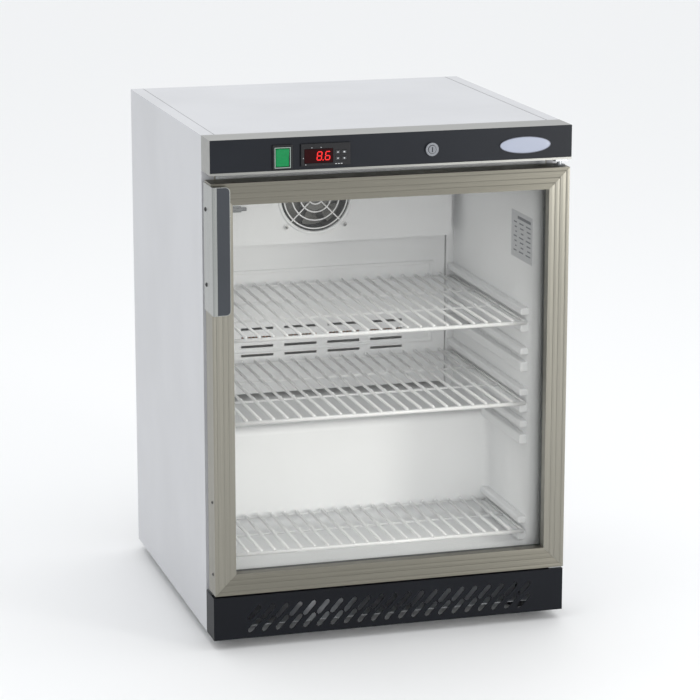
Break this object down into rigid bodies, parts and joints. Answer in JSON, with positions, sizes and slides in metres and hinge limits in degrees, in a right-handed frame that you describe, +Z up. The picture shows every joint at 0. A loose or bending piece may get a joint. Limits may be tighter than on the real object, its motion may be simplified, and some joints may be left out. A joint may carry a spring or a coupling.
{
  "type": "undercounter refrigerator",
  "caption": "Undercounter display refrigerator with a glazed hinged door, wire shelves, ventilated plinth and a control fascia over the door.",
  "frame": {"origin": "centre of the footprint's bounding box, on the floor", "axes": "+X to the right of someone facing the door, +Y from the door towards the back, +Z up"},
  "size_m": [0.6, 0.612, 0.839],
  "materials": {
    "white_sheet": "semi-gloss cool white powder coat",
    "zinc_sheet": "galvanised sheet",
    "foam": "rigid insulating foam",
    "white_plastic": "satin white moulded plastic",
    "fin_aluminium": "thin bright fins",
    "grey_plastic": "mid grey moulded plastic",
    "dark_plastic": "black moulded plastic",
    "coated_wire": "white plastic coated wire",
    "black_enamel": "black enamel",
    "copper": "copper tube",
    "black_sheet": "blue-black satin powder coat",
    "stainless": "brushed stainless sheet",
    "display_window": "smoked red window",
    "key_plastic": "grey key caps",
    "green_rocker": "translucent green rocker, lit from inside",
    "lock_chrome": "dull nickel plating",
    "badge_plastic": "pale domed plastic with a raised rim",
    "door_aluminium": "fluted champagne-grey brushed extrusion",
    "door_glass": "clear pane of a double glazed unit",
    "spacer_strip": "dark glazing spacer",
    "gasket_rubber": "brown-black magnetic door seal"
  },
  "bodies": {
    "cabinet": {"side_panel_left": "white_sheet", "side_panel_right": "white_sheet", "top_panel": "white_sheet", "back_panel": "zinc_sheet", "front_rail": "white_sheet", "machine_bay_sheet": "zinc_sheet", "base_plate": "zinc_sheet", "insulation_foam": "foam", "inner_liner": "white_plastic", "evaporator_cover": "white_plastic", "fan_box": "white_plastic", "evaporator_coil": "fin_aluminium", "drip_tray": "white_plastic", "drain_tube": "grey_plastic", "temperature_probe": "grey_plastic", "fan_housing": "grey_plastic", "fan_guard": "coated_wire", "compressor": "black_enamel", "terminal_box": "dark_plastic", "condenser": "fin_aluminium", "filter_drier": "copper", "condensate_pan": "dark_plastic", "cord_gland": "dark_plastic", "discharge_line": "copper", "suction_line": "copper", "plinth_grille": "black_sheet", "fascia_housing": "stainless", "fascia_panel": "black_sheet", "controller_case": "dark_plastic", "display_window": "display_window", "switch_bezel": "dark_plastic", "lock_body": "lock_chrome", "badge": "badge_plastic", "hinge_bracket_top": "zinc_sheet", "hinge_bracket_bottom": "zinc_sheet"},
    "door": {"door_rail_bottom": "door_aluminium", "door_rail_top": "door_aluminium", "door_rail_left": "door_aluminium", "door_rail_right": "door_aluminium", "outer_glass": "door_glass", "inner_glass": "door_glass", "glass_spacer": "spacer_strip", "door_gasket": "gasket_rubber", "door_handle": "stainless", "hinge_bush_bottom": "grey_plastic", "hinge_bush_top": "grey_plastic"},
    "fan_rotor": {"fan_rotor": "dark_plastic"},
    "shelf_upper": {"shelf_upper": "coated_wire"},
    "shelf_middle": {"shelf_middle": "coated_wire"},
    "shelf_lower": {"shelf_lower": "coated_wire"},
    "switch_rocker": {"switch_rocker": "green_rocker"},
    "lock_plug": {"lock_plug": "lock_chrome"},
    "key_lower_left": {"key_lower_left": "key_plastic"},
    "key_lower_right": {"key_lower_right": "key_plastic"},
    "key_upper_left": {"key_upper_left": "key_plastic"},
    "key_upper_right": {"key_upper_right": "key_plastic"},
    "foot_front_left": {"foot_front_left": "dark_plastic"},
    "foot_front_right": {"foot_front_right": "dark_plastic"},
    "foot_back_left": {"foot_back_left": "dark_plastic"},
    "foot_back_right": {"foot_back_right": "dark_plastic"}
  },
  "joints": [
    {"name": "door_hinge", "type": "hinge", "parent": "cabinet", "child": "door", "pos_m": [0.288, -0.27, 0.094], "axis": [0, 0, 1], "range_deg": [0, 115]},
    {"name": "fan_spin", "type": "hinge", "parent": "cabinet", "child": "fan_rotor", "pos_m": [-0.013, 0.149, 0.665], "axis": [0, 1, 0], "continuous": true},
    {"name": "shelf_upper_slide", "type": "slide", "parent": "cabinet", "child": "shelf_upper", "axis": [0, -1, 0], "range_m": [0, 0.018]},
    {"name": "shelf_middle_slide", "type": "slide", "parent": "cabinet", "child": "shelf_middle", "axis": [0, -1, 0], "range_m": [0, 0.018]},
    {"name": "shelf_lower_slide", "type": "slide", "parent": "cabinet", "child": "shelf_lower", "axis": [0, -1, 0], "range_m": [0, 0.018]},
    {"name": "switch_rock", "type": "hinge", "parent": "cabinet", "child": "switch_rocker", "pos_m": [-0.1835, -0.286, 0.8085], "axis": [1, 0, 0], "range_deg": [-12, 0]},
    {"name": "lock_turn", "type": "hinge", "parent": "cabinet", "child": "lock_plug", "pos_m": [0.0625, -0.274, 0.81], "axis": [0, 1, 0], "range_deg": [0, 90]},
    {"name": "key_lower_left_press", "type": "slide", "parent": "cabinet", "child": "key_lower_left", "axis": [0, 1, 0], "range_m": [0, 0.0006], "stiffness_N_per_m": 400, "springref_m": -0.0004},
    {"name": "key_lower_right_press", "type": "slide", "parent": "cabinet", "child": "key_lower_right", "axis": [0, 1, 0], "range_m": [0, 0.0006], "stiffness_N_per_m": 400, "springref_m": -0.0004},
    {"name": "key_upper_left_press", "type": "slide", "parent": "cabinet", "child": "key_upper_left", "axis": [0, 1, 0], "range_m": [0, 0.0006], "stiffness_N_per_m": 400, "springref_m": -0.0004},
    {"name": "key_upper_right_press", "type": "slide", "parent": "cabinet", "child": "key_upper_right", "axis": [0, 1, 0], "range_m": [0, 0.0006], "stiffness_N_per_m": 400, "springref_m": -0.0004},
    {"name": "foot_front_left_turn", "type": "hinge", "parent": "cabinet", "child": "foot_front_left", "pos_m": [-0.255, -0.189, 0], "axis": [0, 0, 1], "continuous": true},
    {"name": "foot_front_right_turn", "type": "hinge", "parent": "cabinet", "child": "foot_front_right", "pos_m": [0.255, -0.189, 0], "axis": [0, 0, 1], "continuous": true},
    {"name": "foot_back_left_turn", "type": "hinge", "parent": "cabinet", "child": "foot_back_left", "pos_m": [-0.255, 0.261, 0], "axis": [0, 0, 1], "continuous": true},
    {"name": "foot_back_right_turn", "type": "hinge", "parent": "cabinet", "child": "foot_back_right", "pos_m": [0.255, 0.261, 0], "axis": [0, 0, 1], "continuous": true}
  ]
}
